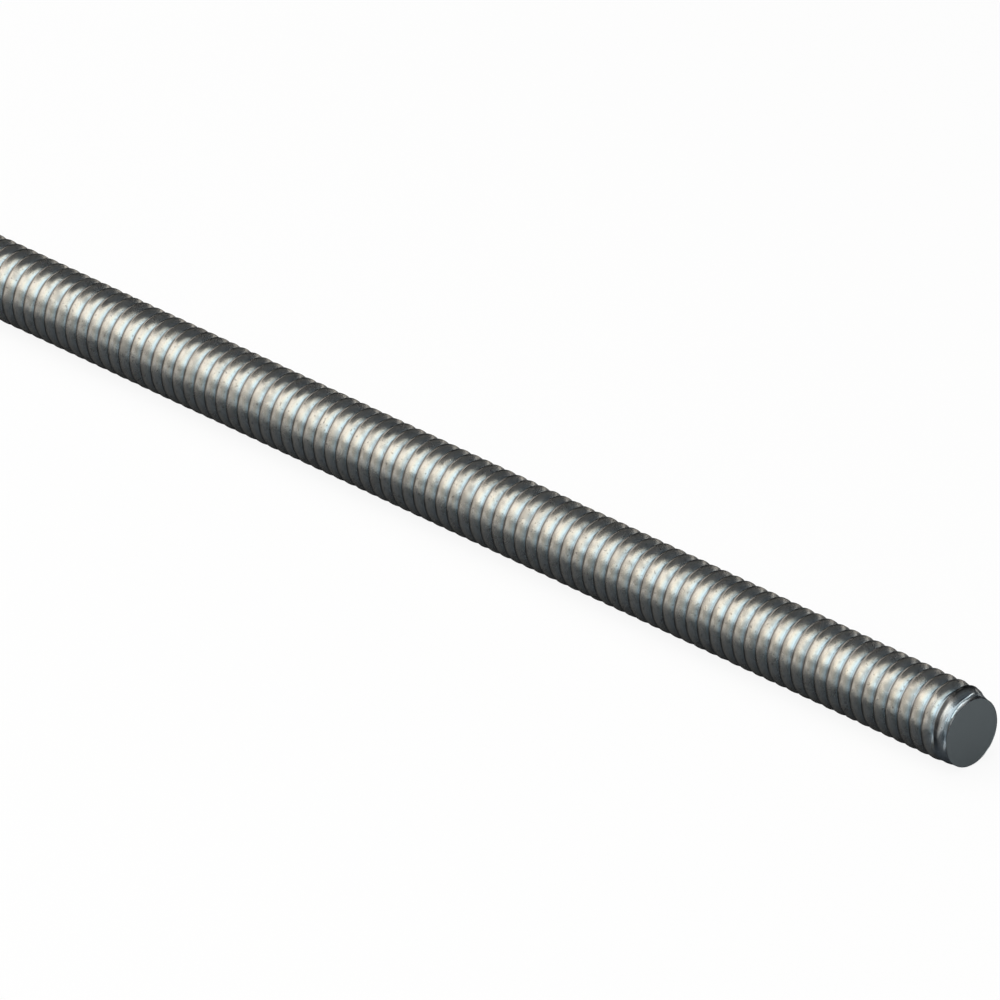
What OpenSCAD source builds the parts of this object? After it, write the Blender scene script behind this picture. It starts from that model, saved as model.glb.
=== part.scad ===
// Fully threaded rod of zinc-plated steel, sheared to length from a longer bar.
// It has no head, no shank and no point: one right-hand, single-start thread of the unified
// 60 degree form runs from one cut end to the other.
// The rod lies along X with its middle at the origin. The near end, at +X, shows the mark of
// the shear: its last half turn is pressed to a short stub. The far end is cut clean.

/* [Rod] */
// Length from cut end to cut end, in mm
rod_length = 152.4; // [12.7:12.7:152.4]
// Major diameter, over the thread's crests, in mm
major_d = 6.35; // [5:0.05:8]

/* [Thread] */
// Number of threads in an inch of length
threads_per_inch = 20; // [12:1:20]
// Angle between the two flanks of a groove, in degrees
flank_angle = 60; // [55:1:70]
// Width of the flat on a crest, as a share of the pitch
crest_share = 0.125; // [0.05:0.005:0.25]
// Width of the flat at a root, as a share of the pitch
root_share = 0.167; // [0.1:0.001:0.3]
// Angle from +Y at which the crest meets the near end's face, in degrees
crest_angle = 107; // [0:1:359]

/* [Sheared near end] */
// Length of the pressed stub, in mm
stub_length = 0.6; // [0.3:0.05:1.2]
// Diameter of the pressed stub, in mm
stub_d = 5.6; // [4.9:0.05:5.8]
// How far the shear pushed the stub down from the rod's axis, in mm
stub_drop = 0.25; // [0:0.05:0.4]

/* [Fineness] */
// Flat steps in one turn of the helix
steps_per_turn = 12; // [8:4:12]

/* [Hidden] */

inch = 25.4;
pitch = inch / threads_per_inch;
crest_r = major_d / 2;
// A groove's flanks share what the two flats leave of the pitch, and their slope sets its depth
flank_share = (1 - crest_share - root_share) / 2;
thread_depth = pitch * flank_share / tan(flank_angle / 2);
root_r = crest_r - thread_depth;
// One pitch of the thread: [share of the pitch along the rod, radius]
profile = [
    [0, root_r],
    [root_share, root_r],
    [root_share + flank_share, crest_r],
    [root_share + flank_share + crest_share, crest_r]
];
crest_middle = root_share + flank_share + crest_share / 2;
// The helix overruns both ends, where it is cut flat
whole_turns = ceil(rod_length / pitch);
turns = whole_turns + 3;
helix_start = rod_length / 2 - pitch * (crest_angle / 360 + crest_middle + whole_turns + 1);
zinc = [0.74, 0.74, 0.71];

// Point k of the profile after j steps round the helix
function thread_point(j, k) =
    let (angle = 360 * j / steps_per_turn)
    [
        helix_start + pitch * (j / steps_per_turn + profile[k][0]),
        profile[k][1] * cos(angle),
        profile[k][1] * sin(angle)
    ];

// The helical solid: steps of the profile joined into one skin, each turn to the next, and
// closed at both ends by a fan of faces about the axis
module helix() {
    sides = len(profile);
    last = sides - 1;
    steps = turns * steps_per_turn;
    skin_points = [for (j = [0:steps]) for (k = [0:last]) thread_point(j, k)];
    start_hub = len(skin_points);
    end_hub = start_hub + 1;
    hubs = [[helix_start, 0, 0], [helix_start + pitch * turns, 0, 0]];
    // Past its last point the profile goes on with the first point of the next turn
    function at(j, k) = k < sides ? j * sides + k : (j + steps_per_turn) * sides + k - sides;
    function is_flat(k) = profile[k][1] == profile[(k + 1) % sides][1];
    // A flat's four corners lie in one plane, and a flank's don't, so it is two triangles
    skin = [
        for (j = [0:steps - 1]) for (k = [0:last])
            if (k < last || j + 1 + steps_per_turn <= steps)
                each is_flat(k)
                    ? [[at(j, k), at(j, k + 1), at(j + 1, k + 1), at(j + 1, k)]]
                    : [
                        [at(j, k), at(j, k + 1), at(j + 1, k + 1)],
                        [at(j, k), at(j + 1, k + 1), at(j + 1, k)]
                    ]
    ];
    start_cap = concat(
        [for (j = [0:steps_per_turn - 1]) [start_hub, at(j, 0), at(j + 1, 0)]],
        [[for (k = [0:sides]) at(0, sides - k)]],
        [[start_hub, at(0, sides), at(0, 0)]]
    );
    end_cap = concat(
        [for (j = [steps - steps_per_turn:steps - 1]) [end_hub, at(j + 1, last), at(j, last)]],
        [[at(steps - steps_per_turn, last), for (k = [0:last]) at(steps, k)]],
        [[end_hub, at(steps - steps_per_turn, last), at(steps, last)]]
    );
    polyhedron(concat(skin_points, hubs), concat(skin, start_cap, end_cap));
}

// The helix cut flat at the far end and where the near end's stub begins
module thread() {
    intersection() {
        helix();
        translate([-rod_length / 2, -major_d, -major_d])
            cube([rod_length - stub_length, 2 * major_d, 2 * major_d]);
    }
}

// What the shear left of the last half turn: crests pressed in and grooves pressed full
module stub() {
    translate([rod_length / 2 - stub_length, 0, -stub_drop])
        rotate([0, 90, 0])
            cylinder(h = stub_length, d = stub_d, $fn = 64);
}

module threaded_rod() {
    color(zinc)
        union() {
            thread();
            stub();
        }
}

threaded_rod();
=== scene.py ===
"""Looks of the zinc-plated threaded rod: its rolled thread, sheared end, plating and studio stage."""

import math

import bmesh
import bpy
from bpy.props import FloatProperty, FloatVectorProperty, IntProperty, PointerProperty
from mathutils import Matrix, Vector, noise


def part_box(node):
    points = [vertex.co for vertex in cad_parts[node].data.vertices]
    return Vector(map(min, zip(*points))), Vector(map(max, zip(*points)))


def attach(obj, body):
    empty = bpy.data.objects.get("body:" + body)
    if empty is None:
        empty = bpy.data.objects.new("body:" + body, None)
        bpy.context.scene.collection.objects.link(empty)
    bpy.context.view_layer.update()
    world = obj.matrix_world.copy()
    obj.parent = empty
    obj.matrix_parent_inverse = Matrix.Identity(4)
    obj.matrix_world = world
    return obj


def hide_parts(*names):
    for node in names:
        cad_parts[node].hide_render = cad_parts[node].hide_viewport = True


bl_info = {
    "name": "Threaded Rod",
    "version": (1, 0, 0),
    "blender": (4, 5, 0),
    "location": "3D View > Sidebar > Threaded Rod",
    "description": "Models a zinc-plated threaded rod with a sheared end, and its studio stage",
    "category": "Add Mesh",
}

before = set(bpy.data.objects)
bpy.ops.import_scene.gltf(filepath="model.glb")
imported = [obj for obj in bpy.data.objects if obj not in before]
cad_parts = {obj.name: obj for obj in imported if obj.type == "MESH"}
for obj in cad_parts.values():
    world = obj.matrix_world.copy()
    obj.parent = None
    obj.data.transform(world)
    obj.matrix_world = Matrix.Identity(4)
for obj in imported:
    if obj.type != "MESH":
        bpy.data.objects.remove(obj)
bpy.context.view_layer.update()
ROD_LOW, ROD_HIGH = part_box("threaded_rod")

MM = 0.001
INCH = 25.4 * MM
FULL_TURN = 2 * math.pi
NEAR_ZERO = 1e-7


# Colours ------------------------------------------------------------------------------------


def linear(hex_colour):
    """The linear RGBA of an sRGB hex colour such as "c8c9c4"."""
    parts = [int(hex_colour[i : i + 2], 16) / 255 for i in (0, 2, 4)]
    return (*[c / 12.92 if c <= 0.04045 else ((c + 0.055) / 1.055) ** 2.4 for c in parts], 1.0)


def colour_property(name, description, hex_colour):
    """A colour that a user can change, given as sRGB hex."""
    return FloatVectorProperty(
        name=name,
        description=description,
        default=linear(hex_colour),
        size=4,
        min=0.0,
        max=1.0,
        subtype="COLOR",
    )


def length_property(name, description, millimetres):
    """A length that a user can change, given in millimetres."""
    return FloatProperty(
        name=name, description=description, default=millimetres * MM, unit="LENGTH", precision=5
    )


# Settings -----------------------------------------------------------------------------------


class RodSettings(bpy.types.PropertyGroup):
    """Sizes and colours of the rod."""

    threads_per_inch: FloatProperty(
        name="Threads per inch", description="Turns of the thread in an inch", default=20.0
    )
    flank_angle: FloatProperty(
        name="Flank angle",
        description="Angle between the two flanks of a groove",
        default=math.radians(60),
        subtype="ANGLE",
    )
    crest_flat: length_property("Crest flat", "Width of a crest, corner to corner", 0.15)
    crest_furrow: length_property("Crest furrow", "Depth of the seam that rolling leaves", 0.02)
    root_flat: length_property("Root flat", "Width of the floor of a groove", 0.212)
    crest_round: length_property("Crest rounding", "How far the rolled crest corners are eased", 0.045)
    root_round: length_property("Root rounding", "How far the root corners are rounded", 0.1)
    crest_angle: FloatProperty(
        name="Crest angle",
        description="Angle from +Y at which the crest meets the near end's face",
        default=math.radians(107),
        subtype="ANGLE",
    )
    steps: IntProperty(name="Steps", description="Faces in one turn of the thread", default=56)
    pressed_length: length_property("Pressed length", "How far the shear's mark reaches", 1.9)
    pressed_radius: length_property("Pressed radius", "Radius of the sheared face", 2.8)
    pressed_drop: length_property("Pressed drop", "How far the shear pushed the face down", 0.25)
    last_crest_cut: length_property("Last crest cut", "How much more the last crest lost in front", 0.03)
    open_angle: FloatProperty(
        name="Open angle",
        description="Angle from +Y at which the last groove was left open by the shear",
        default=math.radians(135),
        subtype="ANGLE",
    )
    rim_round: length_property("Rim rounding", "How far the rims of the cut ends are eased", 0.03)
    dent_depth: length_property("Dent depth", "Depth of the nicks along the crests", 0.03)
    dent_size: length_property("Dent size", "Spacing of the nicks along the crests", 0.5)
    zinc_straw: colour_property("Zinc, straw", "Plating where the passivation is straw-tinted", "ede4d5")
    zinc_blue: colour_property("Zinc, blue", "Plating where the passivation is blue-tinted", "cfe0e8")
    zinc_dull: colour_property("Zinc, dull", "Plating where it is stained", "8f8b86")
    # Dark colour for painted shade on the crest seam and groove floors, and for the darkened strip by the
    # face
    painted_seam_shade: colour_property("Painted seam shade", "Painted shade on the crest seam and groove floors, and the darkened strip by the face", "2f3133")
    zinc_smeared: colour_property("Zinc, smeared", "Plating smeared and torn by the shear", "b9c0c2")
    cut_steel: colour_property("Cut steel", "Bare steel of the cut ends", "c5cdcd")


class StageSettings(bpy.types.PropertyGroup):
    """Sizes and colours of the stage, and the camera's place."""

    azimuth: FloatProperty(
        name="Azimuth",
        description="Camera's direction round the rod",
        default=math.radians(45.95),
        subtype="ANGLE",
    )
    elevation: FloatProperty(
        name="Elevation",
        description="Camera's height above the horizon",
        default=math.radians(26.73),
        subtype="ANGLE",
    )
    distance: length_property("Distance", "From the camera's plane to the near end", 984.2)
    end_right: length_property("End right", "Near end, right of the view's middle", 35.87)
    end_below: length_property("End below", "Near end, below the view's middle", 17.49)
    lens: FloatProperty(name="Lens", description="Focal length in mm", default=465.9)
    floor: colour_property("Floor", "Pale studio floor", "f4f4f2")
    surround: FloatProperty(name="Surround", description="Strength of the pale surround", default=0.4)
    key: FloatProperty(name="Key", description="Power of the key softbox in W", default=0.18)
    top: FloatProperty(name="Top", description="Power of the overhead softbox in W", default=8.0)
    back: FloatProperty(name="Back", description="Power of the softbox over the far half in W", default=2.3)


# Nodes --------------------------------------------------------------------------------------


def add_node(tree, kind, settings=None, values=None, links=None):
    """Adds a node with its settings, socket values and incoming links, and returns it."""
    node = tree.nodes.new(kind)
    for name, value in (settings or {}).items():
        setattr(node, name, value)
    for socket, value in (values or {}).items():
        node.inputs[socket].default_value = value
    for socket, source in (links or {}).items():
        tree.links.new(source, node.inputs[socket])
    return node


def new_material(name):
    """An empty node material and its tree."""
    material = bpy.data.materials.new(name)
    material.use_nodes = True
    material.node_tree.nodes.clear()
    return material, material.node_tree


def zinc_plate(settings):
    """Electroplated zinc over a rolled thread, clear-passivated: a satin metal that the
    passivation tints straw on the crests, where it is thick, and blue in the grooves. The bath
    leaves a fine grain and duller patches, and rattling leaves specks. Shade is painted in a dark
    colour along the seam that the rolls leave on the crest and on the floors of the grooves,
    and a strip by the near face is darkened too."""
    material, tree = new_material("zinc_plate_clear_passivated")
    place = add_node(tree, "ShaderNodeTexCoord").outputs["Object"]
    corners = thread_corners(settings)
    around = add_node(tree, "ShaderNodeVectorMath", {"operation": "MULTIPLY"}, {1: (0, 1, 1)}, {0: place})
    radius = add_node(
        tree, "ShaderNodeVectorMath", {"operation": "LENGTH"}, links={0: around.outputs["Vector"]}
    )
    height = add_node(
        tree,
        "ShaderNodeMapRange",
        values={"From Min": corners[0][1] + 0.05 * MM, "From Max": corners[2][1] - 0.1 * MM},
        links={"Value": radius.outputs["Value"]},
    )
    # Straw on the crests and blue in the grooves, mixed by the distance from the axis
    tint = add_node(
        tree,
        "ShaderNodeMix",
        {"data_type": "RGBA"},
        {6: settings.zinc_blue, 7: settings.zinc_straw},
        {0: height.outputs["Result"]},
    )
    # Turns of the thread from the seam, which is where this is a whole number
    parts = add_node(tree, "ShaderNodeSeparateXYZ", links={"Vector": place})
    angle = add_node(
        tree, "ShaderNodeMath", {"operation": "ARCTAN2"}, links={0: parts.outputs["Z"], 1: parts.outputs["Y"]}
    )
    pitch = rod_pitch(settings)
    along = add_node(
        tree,
        "ShaderNodeMath",
        {"operation": "MULTIPLY_ADD"},
        {1: 1 / pitch, 2: settings.crest_angle / FULL_TURN - ROD_HIGH.x / pitch},
        {0: parts.outputs["X"]},
    )
    turns = add_node(
        tree,
        "ShaderNodeMath",
        {"operation": "MULTIPLY_ADD"},
        {1: -1 / FULL_TURN},
        {0: angle.outputs["Value"], 2: along.outputs["Value"]},
    )
    from_seam = add_node(
        tree, "ShaderNodeMath", {"operation": "PINGPONG"}, {1: 0.5}, {0: turns.outputs["Value"]}
    )
    # Where the shear flattened the last crest, the painted shade along the seam lies 2.5 times as wide
    widening = add_node(
        tree,
        "ShaderNodeMapRange",
        values={
            "From Min": ROD_HIGH.x - settings.pressed_length,
            "From Max": ROD_HIGH.x - settings.pressed_length + 0.5 * MM,
            "To Min": 1.0,
            "To Max": 0.4,
        },
        links={"Value": parts.outputs["X"]},
    )
    spread = add_node(
        tree,
        "ShaderNodeMath",
        {"operation": "MULTIPLY"},
        links={0: from_seam.outputs["Value"], 1: widening.outputs["Result"]},
    )
    cover = add_node(
        tree,
        "ShaderNodeMapRange",
        values={"From Min": 1.0, "From Max": 0.4, "To Min": 0.85, "To Max": 0.95},
        links={"Value": widening.outputs["Result"]},
    )
    # Painted shade along the crest seam, fading out away from the seam
    crest_seam_shade = add_node(
        tree,
        "ShaderNodeMapRange",
        {"interpolation_type": "SMOOTHSTEP"},
        {"From Min": 0.03, "From Max": 0.11, "To Max": 0.0},
        {"Value": spread.outputs["Value"], "To Min": cover.outputs["Result"]},
    )
    # Painted shade also darkens the floors of the grooves, and a strip just behind the near face is darkened
    # too
    groove_floor_shade = add_node(
        tree,
        "ShaderNodeMapRange",
        {"interpolation_type": "SMOOTHSTEP"},
        {
            "From Min": corners[0][1] + 0.03 * MM,
            "From Max": corners[0][1] + 0.12 * MM,
            "To Min": 0.5,
            "To Max": 0.0,
        },
        {"Value": radius.outputs["Value"]},
    )
    # A darker strip just behind the near face
    face_strip_dark = add_node(
        tree,
        "ShaderNodeMapRange",
        values={"From Min": ROD_HIGH.x - 0.28 * MM, "From Max": ROD_HIGH.x - 0.16 * MM, "To Max": 0.85},
        links={"Value": parts.outputs["X"]},
    )
    floor_and_strip_dark = add_node(
        tree,
        "ShaderNodeMath",
        {"operation": "MAXIMUM"},
        links={0: groove_floor_shade.outputs["Result"], 1: face_strip_dark.outputs["Result"]},
    )
    all_painted_dark = add_node(
        tree,
        "ShaderNodeMath",
        {"operation": "MAXIMUM"},
        links={0: floor_and_strip_dark.outputs["Value"], 1: crest_seam_shade.outputs["Result"]},
    )
    # The dark colour goes in as painted shade on the seam and groove floors, and darkens the strip by the
    # face
    seam_shaded = add_node(
        tree,
        "ShaderNodeMix",
        {"data_type": "RGBA"},
        {7: settings.painted_seam_shade},
        {0: all_painted_dark.outputs["Value"], 6: tint.outputs[2]},
    )
    # The shear smeared the plating away under the end
    last_turn = add_node(
        tree,
        "ShaderNodeMapRange",
        {"interpolation_type": "SMOOTHSTEP"},
        {"From Min": ROD_HIGH.x - 2.2 * MM, "From Max": ROD_HIGH.x - 0.8 * MM},
        {"Value": parts.outputs["X"]},
    )
    below = add_node(
        tree,
        "ShaderNodeMapRange",
        {"interpolation_type": "SMOOTHSTEP"},
        {"From Min": 0.4 * MM, "From Max": -1.6 * MM},
        {"Value": parts.outputs["Z"]},
    )
    smear = add_node(
        tree,
        "ShaderNodeMath",
        {"operation": "MULTIPLY"},
        links={0: last_turn.outputs["Result"], 1: below.outputs["Result"]},
    )
    sheared = add_node(
        tree,
        "ShaderNodeMix",
        {"data_type": "RGBA"},
        {7: settings.zinc_smeared},
        {0: smear.outputs["Value"], 6: seam_shaded.outputs[2]},
    )
    # Duller patches about 1.2 mm across, and specks of 0.25 mm
    patches = add_node(
        tree, "ShaderNodeTexNoise", values={"Scale": 1 / (1.2 * MM), "Detail": 3.0}, links={"Vector": place}
    )
    stains = add_node(
        tree,
        "ShaderNodeMapRange",
        values={"From Min": 0.52, "From Max": 0.68, "To Max": 0.4},
        links={"Value": patches.outputs["Fac"]},
    )
    stained = add_node(
        tree,
        "ShaderNodeMix",
        {"data_type": "RGBA"},
        {7: settings.zinc_dull},
        {0: stains.outputs["Result"], 6: sheared.outputs[2]},
    )
    dots = add_node(
        tree, "ShaderNodeTexNoise", values={"Scale": 1 / (0.25 * MM), "Detail": 1.0}, links={"Vector": place}
    )
    specks = add_node(
        tree,
        "ShaderNodeMapRange",
        values={"From Min": 0.66, "From Max": 0.72, "To Max": 0.6},
        links={"Value": dots.outputs["Fac"]},
    )
    speckled = add_node(
        tree,
        "ShaderNodeMix",
        {"data_type": "RGBA"},
        {7: settings.zinc_dull},
        {0: specks.outputs["Result"], 6: stained.outputs[2]},
    )
    # The patches are also a little less glossy
    gloss = add_node(
        tree,
        "ShaderNodeMapRange",
        values={"From Min": 0.3, "From Max": 0.7, "To Min": 0.18, "To Max": 0.3},
        links={"Value": patches.outputs["Fac"]},
    )
    # The grain of the bath is under 0.02 mm, and is drawn at 0.12 mm so that it shows
    grain = add_node(
        tree, "ShaderNodeTexNoise", values={"Scale": 1 / (0.12 * MM), "Detail": 2.0}, links={"Vector": place}
    )
    bump = add_node(
        tree,
        "ShaderNodeBump",
        values={"Strength": 0.3, "Distance": 0.012 * MM},
        links={"Height": grain.outputs["Fac"]},
    )
    shader = add_node(
        tree,
        "ShaderNodeBsdfPrincipled",
        values={"Metallic": 1.0},
        links={
            "Base Color": speckled.outputs[2],
            "Roughness": gloss.outputs["Result"],
            "Normal": bump.outputs["Normal"],
        },
    )
    add_node(tree, "ShaderNodeOutputMaterial", links={"Surface": shader.outputs["BSDF"]})
    return material


def sheared_steel(settings):
    """Bare low-carbon steel torn by a shear: a dark, nearly matt metal without any plating."""
    material, tree = new_material("bare_steel_sheared")
    shader = add_node(
        tree,
        "ShaderNodeBsdfPrincipled",
        values={"Metallic": 1.0, "Roughness": 0.55, "Base Color": settings.cut_steel},
    )
    add_node(tree, "ShaderNodeOutputMaterial", links={"Surface": shader.outputs["BSDF"]})
    return material


# Mesh ---------------------------------------------------------------------------------------


def rod_pitch(settings):
    """Length of one turn of the thread."""
    return INCH / settings.threads_per_inch


def thread_corners(settings):
    """The thread's corners over one pitch as (place along the rod, radius), root first."""
    pitch = rod_pitch(settings)
    crest_radius = (ROD_HIGH.y - ROD_LOW.y) / 2
    flank = (pitch - settings.crest_flat - settings.root_flat) / 2
    root_radius = crest_radius - flank / math.tan(settings.flank_angle / 2)
    return [
        (0.0, root_radius),
        (settings.root_flat, root_radius),
        (settings.root_flat + flank, crest_radius),
        (settings.root_flat + flank + settings.crest_flat / 2, crest_radius - settings.crest_furrow),
        (settings.root_flat + flank + settings.crest_flat, crest_radius),
        (pitch, root_radius),
    ]


def roll_thread(bm, settings):
    """One turn of the thread is spun from its profile, and repeated past both ends."""
    pitch = rod_pitch(settings)
    corners = thread_corners(settings)
    length = ROD_HIGH.x - ROD_LOW.x
    turns = math.ceil(length / pitch) + 3
    # The profile starts at +Y, from where its crest meets the near face after crest_angle
    start = ROD_HIGH.x - corners[3][0] - pitch * (turns - 2 + settings.crest_angle / FULL_TURN)
    points = [bm.verts.new((start + along, radius, 0.0)) for along, radius in corners]
    edges = [bm.edges.new(pair) for pair in zip(points, points[1:])]
    bmesh.ops.spin(
        bm,
        geom=points + edges,
        cent=(0, 0, 0),
        axis=(1, 0, 0),
        dvec=(pitch / settings.steps, 0, 0),
        angle=FULL_TURN,
        steps=settings.steps,
        use_merge=False,
    )
    turn = bm.verts[:] + bm.edges[:] + bm.faces[:]
    for number in range(1, turns):
        copy = bmesh.ops.duplicate(bm, geom=turn)["geom"]
        bmesh.ops.translate(
            bm, vec=(pitch * number, 0, 0), verts=[g for g in copy if isinstance(g, bmesh.types.BMVert)]
        )
    join_gap = 0.002 * MM
    bmesh.ops.remove_doubles(bm, verts=bm.verts[:], dist=join_gap)
    bmesh.ops.recalc_face_normals(bm, faces=bm.faces[:])


def round_corners(bm, settings):
    """Crest corners are eased and root corners rounded, as thread rolls leave them."""
    corners = thread_corners(settings)
    crest_radius, root_radius = corners[2][1], corners[0][1]
    near = 0.01 * MM
    longest = 2 * rod_pitch(settings) / settings.steps

    def runs_along(edge, radius):
        radii = [math.hypot(v.co.y, v.co.z) for v in edge.verts]
        along = abs(edge.verts[0].co.x - edge.verts[1].co.x)
        return max(abs(r - radius) for r in radii) < near and along < longest

    for radius, offset in ((crest_radius, settings.crest_round), (root_radius, settings.root_round)):
        edges = [e for e in bm.edges if len(e.link_faces) == 2 and runs_along(e, radius)]
        bmesh.ops.bevel(
            bm,
            geom=edges,
            offset=offset,
            offset_type="OFFSET",
            segments=2,
            profile=0.5,
            affect="EDGES",
            material=-1,
        )


def cut_to_length(bm):
    """Both ends are cut flat and closed, and the two new faces are returned."""
    caps = []
    for place, outward in ((ROD_HIGH.x, 1), (ROD_LOW.x, -1)):
        cut = bmesh.ops.bisect_plane(
            bm,
            geom=bm.verts[:] + bm.edges[:] + bm.faces[:],
            dist=NEAR_ZERO,
            plane_co=(place, 0, 0),
            plane_no=(outward, 0, 0),
            clear_outer=True,
        )["geom_cut"]
        rim = [g for g in cut if isinstance(g, bmesh.types.BMEdge)]
        caps += bmesh.ops.contextual_create(bm, geom=rim)["faces"]
    return caps


def eased(value, start=0.0, end=1.0):
    """From 0 to 1 as the value goes from start to end, softly at both."""
    share = min(max((value - start) / (end - start), 0.0), 1.0)
    return share * share * (3 - 2 * share)


def press_near_end(bm, settings):
    """The shear flattens the last crest towards a dropped round face, and shuts the last groove
    except in front, where it stays open behind a narrow rim."""
    pitch = rod_pitch(settings)
    crest_radius = thread_corners(settings)[2][1]
    pressed_length = settings.pressed_length
    reach = pressed_length + pitch / 4
    # The cut into the last crest fades in over this length, after as long a stretch without it
    cut_fade = 0.3 * MM
    # Where the shear shut the groove, the groove's floor comes up to this share of the level
    groove_filled = 0.97
    last_edges = [e for e in bm.edges if all(ROD_HIGH.x - v.co.x < reach for v in e.verts)]
    last_edges = [e for e in last_edges if all(len(f.verts) < 5 for f in e.link_faces)]
    bmesh.ops.subdivide_edges(bm, edges=last_edges, cuts=2, use_grid_fill=True)
    for vert in bm.verts:
        back = ROD_HIGH.x - vert.co.x
        if back > reach:
            continue
        radius = math.hypot(vert.co.y, vert.co.z)
        angle = math.atan2(vert.co.z, vert.co.y)
        across, down = settings.pressed_drop * math.cos(angle), settings.pressed_drop * math.sin(angle)
        face_radius = math.sqrt(settings.pressed_radius**2 - across**2) - down
        lowered = eased(back, pressed_length, 0)
        level = crest_radius + (face_radius - crest_radius) * lowered
        # 1 in the middle of the open part, 0 a quarter turn away from it and -1 opposite
        in_front = math.cos(angle - settings.open_angle)
        cut = eased(in_front, 0.3, 0.8)
        cut *= eased(back, pressed_length - cut_fade, pressed_length - 2 * cut_fade)
        level -= settings.last_crest_cut * cut
        shut = eased(in_front, 0.75, 0.25) * eased(back, reach, reach - 0.6 * pitch)
        pressed = min(radius, level)
        filled = level * (groove_filled + (1 - groove_filled) * lowered)
        pressed += max(filled - pressed, 0) * shut
        vert.co.y *= pressed / radius
        vert.co.z *= pressed / radius


def nick_crests(bm, settings):
    """Crests are knocked in here and there by the bars' rattling against each other."""
    crest_radius = thread_corners(settings)[2][1]
    # The nicks reach down the flanks to this depth under the crest
    nicked = 0.25 * MM
    for vert in bm.verts:
        radius = math.hypot(vert.co.y, vert.co.z)
        share = (radius - crest_radius + nicked) / nicked
        if share <= 0:
            continue
        # The noise goes from -1 to 1, and only its peaks are knocks
        knock = eased(noise.noise(vert.co / settings.dent_size) * 2.2 - 0.35)
        kept = 1 - settings.dent_depth * knock * share / radius
        vert.co.y *= kept
        vert.co.z *= kept


def ease_rims(bm, caps, settings):
    """The cut faces get a small eased rim and the look of bare steel."""
    for cap in caps:
        inward = -settings.rim_round if cap.calc_center_median().x > 0 else settings.rim_round
        rim = cap.verts[:]
        bmesh.ops.inset_region(bm, faces=[cap], thickness=settings.rim_round, use_even_offset=True)
        bmesh.ops.translate(bm, vec=(inward, 0, 0), verts=rim)
        cap.material_index = 1
        cap.smooth = False


def corner_normals(bm):
    """The normal at each corner of each face, for shading. The broad flanks set it, so that they
    look flat and the narrow rounded corners turn between them."""
    bm.normal_update()
    blended = {
        vert: sum((f.normal * f.calc_area() for f in vert.link_faces if f.smooth), Vector()).normalized()
        for vert in bm.verts
    }
    return [blended[v] if face.smooth else face.normal.copy() for face in bm.faces for v in face.verts]


class MESH_OT_rod_thread(bpy.types.Operator):
    """Model the threaded rod"""

    bl_idname = "mesh.rod_thread"
    bl_label = "Threaded Rod"
    bl_options = {"REGISTER", "UNDO"}

    def execute(self, context):
        settings = context.scene.rod_settings
        bm = bmesh.new()
        roll_thread(bm, settings)
        round_corners(bm, settings)
        for face in bm.faces:
            face.smooth = True
        caps = cut_to_length(bm)
        press_near_end(bm, settings)
        nick_crests(bm, settings)
        ease_rims(bm, caps, settings)
        normals = corner_normals(bm)
        mesh = bpy.data.meshes.new("rolled_thread_rod")
        bm.to_mesh(mesh)
        bm.free()
        mesh.normals_split_custom_set(normals)
        rod = bpy.data.objects.new("rolled_thread_rod", mesh)
        context.collection.objects.link(rod)
        mesh.materials.append(zinc_plate(settings))
        mesh.materials.append(sheared_steel(settings))
        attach(rod, "root")
        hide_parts("threaded_rod")
        return {"FINISHED"}


# Stage --------------------------------------------------------------------------------------


def add_sheet(name, matrix, material):
    """A flat square sheet of the stage, 1 m wide before the matrix is applied."""
    bm = bmesh.new()
    bmesh.ops.create_grid(bm, x_segments=1, y_segments=1, size=0.5, matrix=matrix)
    mesh = bpy.data.meshes.new(name)
    bm.to_mesh(mesh)
    bm.free()
    mesh.materials.append(material)
    sheet = bpy.data.objects.new(name, mesh)
    bpy.context.collection.objects.link(sheet)
    return sheet


def floor_paper(settings):
    """Pale paper, nearly white where it is seen, whether straight or in metal, and with the
    object's shadow."""
    material, tree = new_material("floor_paper")
    rays = add_node(tree, "ShaderNodeLightPath").outputs
    straight_or_metal = add_node(
        tree,
        "ShaderNodeMath",
        {"operation": "MAXIMUM"},
        links={0: rays["Is Camera Ray"], 1: rays["Is Glossy Ray"]},
    ).outputs["Value"]
    seen = add_node(
        tree,
        "ShaderNodeMath",
        {"operation": "MAXIMUM"},
        links={0: straight_or_metal, 1: rays["Is Transmission Ray"]},
    ).outputs["Value"]
    # The tenth that is left is lit paper, and takes the object's shadow
    share = add_node(
        tree, "ShaderNodeMath", {"operation": "MULTIPLY"}, {1: 0.9}, {0: seen}
    ).outputs["Value"]
    paper = add_node(tree, "ShaderNodeBsdfDiffuse", values={"Color": settings.floor})
    white = add_node(tree, "ShaderNodeEmission", values={"Strength": 1.0})
    mixed = add_node(
        tree,
        "ShaderNodeMixShader",
        links={0: share, 1: paper.outputs["BSDF"], 2: white.outputs["Emission"]},
    )
    add_node(tree, "ShaderNodeOutputMaterial", links={"Surface": mixed.outputs["Shader"]})
    material.cycles.emission_sampling = "NONE"
    return material


def add_floor(settings):
    """A wide pale floor under the rod."""
    width = 6
    place = Matrix.Translation((0, 0, ROD_LOW.z)) @ Matrix.Diagonal((width, width, 1, 1))
    add_sheet("floor", place, floor_paper(settings))


def add_world(settings):
    """An even, pale surround."""
    world = bpy.data.worlds.new("studio")
    world.use_nodes = True
    tree = world.node_tree
    tree.nodes.clear()
    background = add_node(
        tree, "ShaderNodeBackground", values={"Color": (1, 1, 1, 1), "Strength": settings.surround}
    )
    add_node(tree, "ShaderNodeOutputWorld", links={"Surface": background.outputs["Background"]})
    bpy.context.scene.world = world


def towards(azimuth, elevation):
    """The direction at these degrees round from +X towards +Y, and up from the floor."""
    azimuth, elevation = math.radians(azimuth), math.radians(elevation)
    level = math.cos(elevation)
    return Vector((math.cos(azimuth) * level, math.sin(azimuth) * level, math.sin(elevation)))


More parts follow.
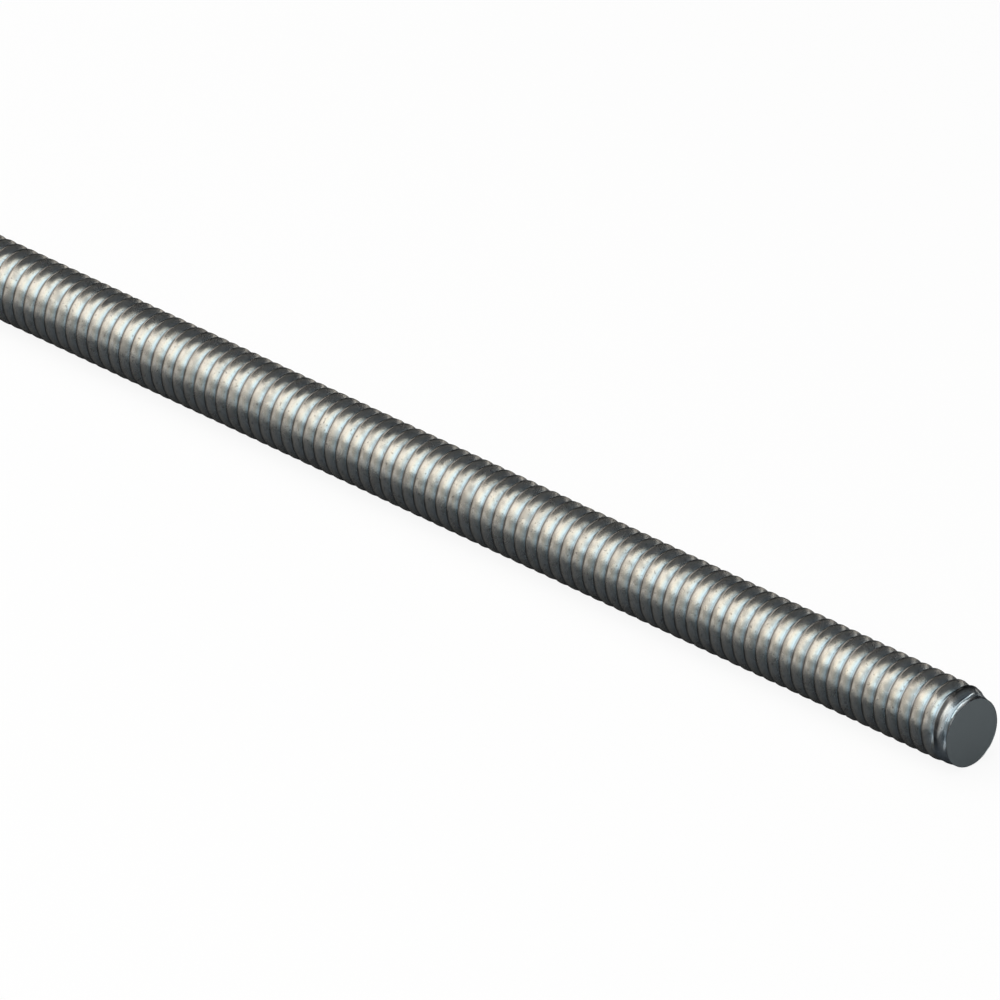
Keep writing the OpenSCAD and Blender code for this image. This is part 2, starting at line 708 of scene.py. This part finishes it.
def add_softbox(name, place, facing, width, height, watts):
    """A rectangular soft light at a place, facing a direction."""
    data = bpy.data.lights.new(name, "AREA")
    data.shape = "RECTANGLE"
    data.size, data.size_y = width, height
    data.energy = watts
    light = bpy.data.objects.new(name, data)
    light.location = place
    light.rotation_mode = "QUATERNION"
    light.rotation_quaternion = facing.to_track_quat("-Z", "Y")
    bpy.context.collection.objects.link(light)


def add_lights(settings):
    """A broad softbox lies over the rod and its left side, a narrow one joins it over the far
    half, and a small one is ahead of the near end."""
    reach = 0.6
    key = towards(-3, 25)
    add_softbox("key_softbox", key * reach, -key, 0.36, 0.22, settings.key)
    down = Vector((0, 0, -1))
    add_softbox("top_softbox", Vector((-0.05, -0.5, reach)), down, 1.9, 1.08, settings.top)
    add_softbox("back_softbox", Vector((-0.52, 0.3, reach)), down, 0.96, 0.52, settings.back)


def card_paper(name, hex_colour):
    """Matt card of one colour."""
    material, tree = new_material(name)
    matt = add_node(tree, "ShaderNodeBsdfDiffuse", values={"Color": linear(hex_colour)})
    add_node(tree, "ShaderNodeOutputMaterial", links={"Surface": matt.outputs["BSDF"]})
    return material


def add_cards():
    """Dark and grey cards that the rod mirrors, as a studio's flags, so that its edges stand out
    dark against the pale floor. The camera doesn't see them, and those that lie on the floor
    neither shade it nor dim it."""
    black_card = card_paper("black_card", "4d5156")
    grey_card = card_paper("grey_card", "a5a9ae")
    upright = Matrix.Rotation(math.radians(90), 4, "X")
    away = 0.35
    # Each standing card with its direction in degrees, its width and its height
    for name, azimuth, width, height in (
        ("right_card", 52, 0.55, 0.9),
        ("back_card", 120, 0.45, 0.42),
    ):
        centre = towards(azimuth, 0) * away + Vector((0, 0, ROD_LOW.z + height / 2))
        turn = Matrix.Rotation(math.radians(azimuth - 90), 4, "Z")
        place = Matrix.Translation(centre) @ turn @ upright @ Matrix.Diagonal((width, height, 1, 1))
        add_sheet(name, place, black_card).visible_camera = False
    length, above_floor = 0.26, 0.05 * MM
    # Each lying card with the place of its middle across the rod, and its width
    for name, across, width, paper in (
        ("under_card", 0.039, 0.102, black_card),
        ("left_card", -0.046, 0.068, grey_card),
    ):
        place = Matrix.Translation((0.02, across, ROD_LOW.z + above_floor))
        card = add_sheet(name, place @ Matrix.Diagonal((length, width, 1, 1)), paper)
        card.visible_camera = False
        card.visible_shadow = False
        card.visible_diffuse = False


def add_camera(settings):
    """The camera looks down the rod from beyond its near end."""
    azimuth, elevation = settings.azimuth, settings.elevation
    back = Vector(
        (
            math.sin(azimuth) * math.cos(elevation),
            -math.cos(azimuth) * math.cos(elevation),
            math.sin(elevation),
        )
    )
    right = Vector((math.cos(azimuth), math.sin(azimuth), 0))
    up = back.cross(right)
    data = bpy.data.cameras.new("camera")
    data.sensor_width = 36
    data.lens = settings.lens
    data.clip_start, data.clip_end = 0.01, 20
    camera = bpy.data.objects.new("camera", data)
    near_end = Vector((ROD_HIGH.x, 0, 0))
    place = near_end + back * settings.distance - right * settings.end_right + up * settings.end_below
    camera.matrix_world = Matrix.Translation(place) @ Matrix((right, up, back)).transposed().to_4x4()
    bpy.context.collection.objects.link(camera)
    bpy.context.scene.camera = camera


class SCENE_OT_rod_stage(bpy.types.Operator):
    """Set the floor, the light and the camera round the rod"""

    bl_idname = "scene.rod_stage"
    bl_label = "Rod Stage"
    bl_options = {"REGISTER", "UNDO"}

    def execute(self, context):
        settings = context.scene.rod_stage_settings
        add_floor(settings)
        add_world(settings)
        add_lights(settings)
        add_cards()
        add_camera(settings)
        context.scene.view_settings.view_transform = "Standard"
        return {"FINISHED"}


# Panel and registration ---------------------------------------------------------------------


class VIEW3D_PT_rod(bpy.types.Panel):
    """Lists the rod's operators and settings"""

    bl_idname = "VIEW3D_PT_rod"
    bl_label = "Threaded Rod"
    bl_space_type = "VIEW_3D"
    bl_region_type = "UI"
    bl_category = "Threaded Rod"

    def draw(self, context):
        column = self.layout.column()
        column.operator(MESH_OT_rod_thread.bl_idname)
        column.operator(SCENE_OT_rod_stage.bl_idname)
        for settings in (context.scene.rod_settings, context.scene.rod_stage_settings):
            for name in settings.__annotations__:
                column.prop(settings, name)


CLASSES = (RodSettings, StageSettings, MESH_OT_rod_thread, SCENE_OT_rod_stage, VIEW3D_PT_rod)


def register():
    for cls in CLASSES:
        bpy.utils.register_class(cls)
    bpy.types.Scene.rod_settings = PointerProperty(type=RodSettings)
    bpy.types.Scene.rod_stage_settings = PointerProperty(type=StageSettings)


def unregister():
    del bpy.types.Scene.rod_stage_settings
    del bpy.types.Scene.rod_settings
    for cls in reversed(CLASSES):
        bpy.utils.unregister_class(cls)


def main():
    register()
    bpy.ops.mesh.rod_thread()
    bpy.ops.scene.rod_stage()


if __name__ == "__main__":
    main()
